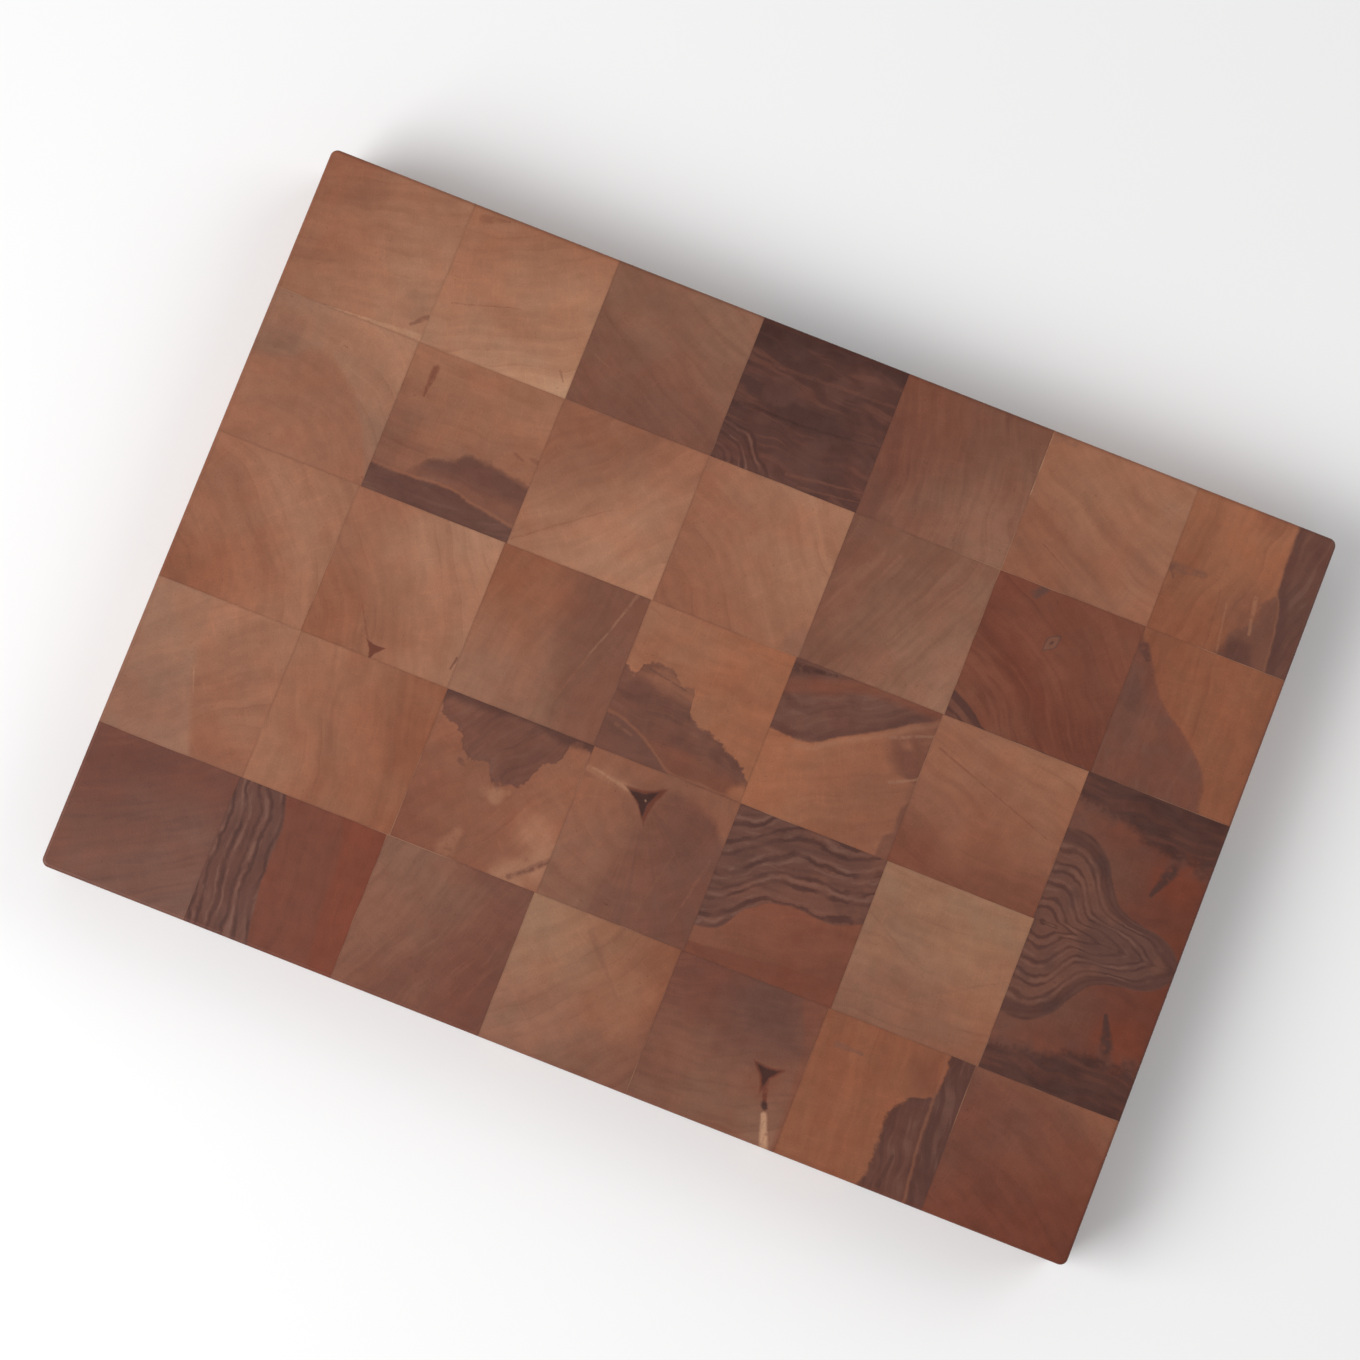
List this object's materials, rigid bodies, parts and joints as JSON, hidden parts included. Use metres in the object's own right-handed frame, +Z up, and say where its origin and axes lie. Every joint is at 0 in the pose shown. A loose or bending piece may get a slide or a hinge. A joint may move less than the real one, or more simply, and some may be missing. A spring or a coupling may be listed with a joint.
{
  "type": "cutting board",
  "caption": "Rectangular end-grain cutting board: square hardwood blocks on end, glued in rows, with rounded corners and eased edges.",
  "frame": {"origin": "middle of the flat underside, on the surface that the board lies on", "axes": "+X along the board's length, +Y across its width towards row 1, +Z up through its thickness, along the wood's fibres"},
  "size_m": [0.42, 0.3, 0.04],
  "materials": {
    "tan_wood": "pinkish tan end grain, oiled to a satin sheen, faint growth rings",
    "orange_wood": "orange-brown end grain, oiled satin, with purple-brown heart stain",
    "red_wood": "deep red-brown end grain, oiled satin, faint growth rings",
    "grey_wood": "grey-brown end grain, oiled satin, cloudy colour",
    "pale_wood": "greenish grey-tan end grain, oiled satin, soft cloudy colour",
    "dark_wood": "dark chocolate end grain, oiled satin, streaked",
    "zoned_wood": "dark zone-lined heart stain on red-brown end grain, oiled satin",
    "cured_glue": "cured wood glue, pale and faintly glossy where the joint shows it"
  },
  "bodies": {
    "root": {"block_row1_col1": "tan_wood", "block_row1_col2": "tan_wood", "block_row1_col3": "grey_wood", "block_row1_col4": "dark_wood", "block_row1_col5": "red_wood", "block_row1_col6": "tan_wood", "block_row1_col7": "orange_wood", "block_row2_col1": "pale_wood", "block_row2_col2": "orange_wood", "block_row2_col3": "tan_wood", "block_row2_col4": "tan_wood", "block_row2_col5": "grey_wood", "block_row2_col6": "red_wood", "block_row2_col7": "orange_wood", "block_row3_col1": "tan_wood", "block_row3_col2": "tan_wood", "block_row3_col3": "grey_wood", "block_row3_col4": "orange_wood", "block_row3_col5": "orange_wood", "block_row3_col6": "red_wood", "block_row3_col7": "zoned_wood", "block_row4_col1": "pale_wood", "block_row4_col2": "tan_wood", "block_row4_col3": "orange_wood", "block_row4_col4": "grey_wood", "block_row4_col5": "zoned_wood", "block_row4_col6": "pale_wood", "block_row4_col7": "zoned_wood", "block_row5_col1": "grey_wood", "block_row5_col2": "red_wood", "block_row5_col3": "grey_wood", "block_row5_col4": "tan_wood", "block_row5_col5": "grey_wood", "block_row5_col6": "orange_wood", "block_row5_col7": "red_wood", "glue_lines": "cured_glue"}
  },
  "joints": []
}
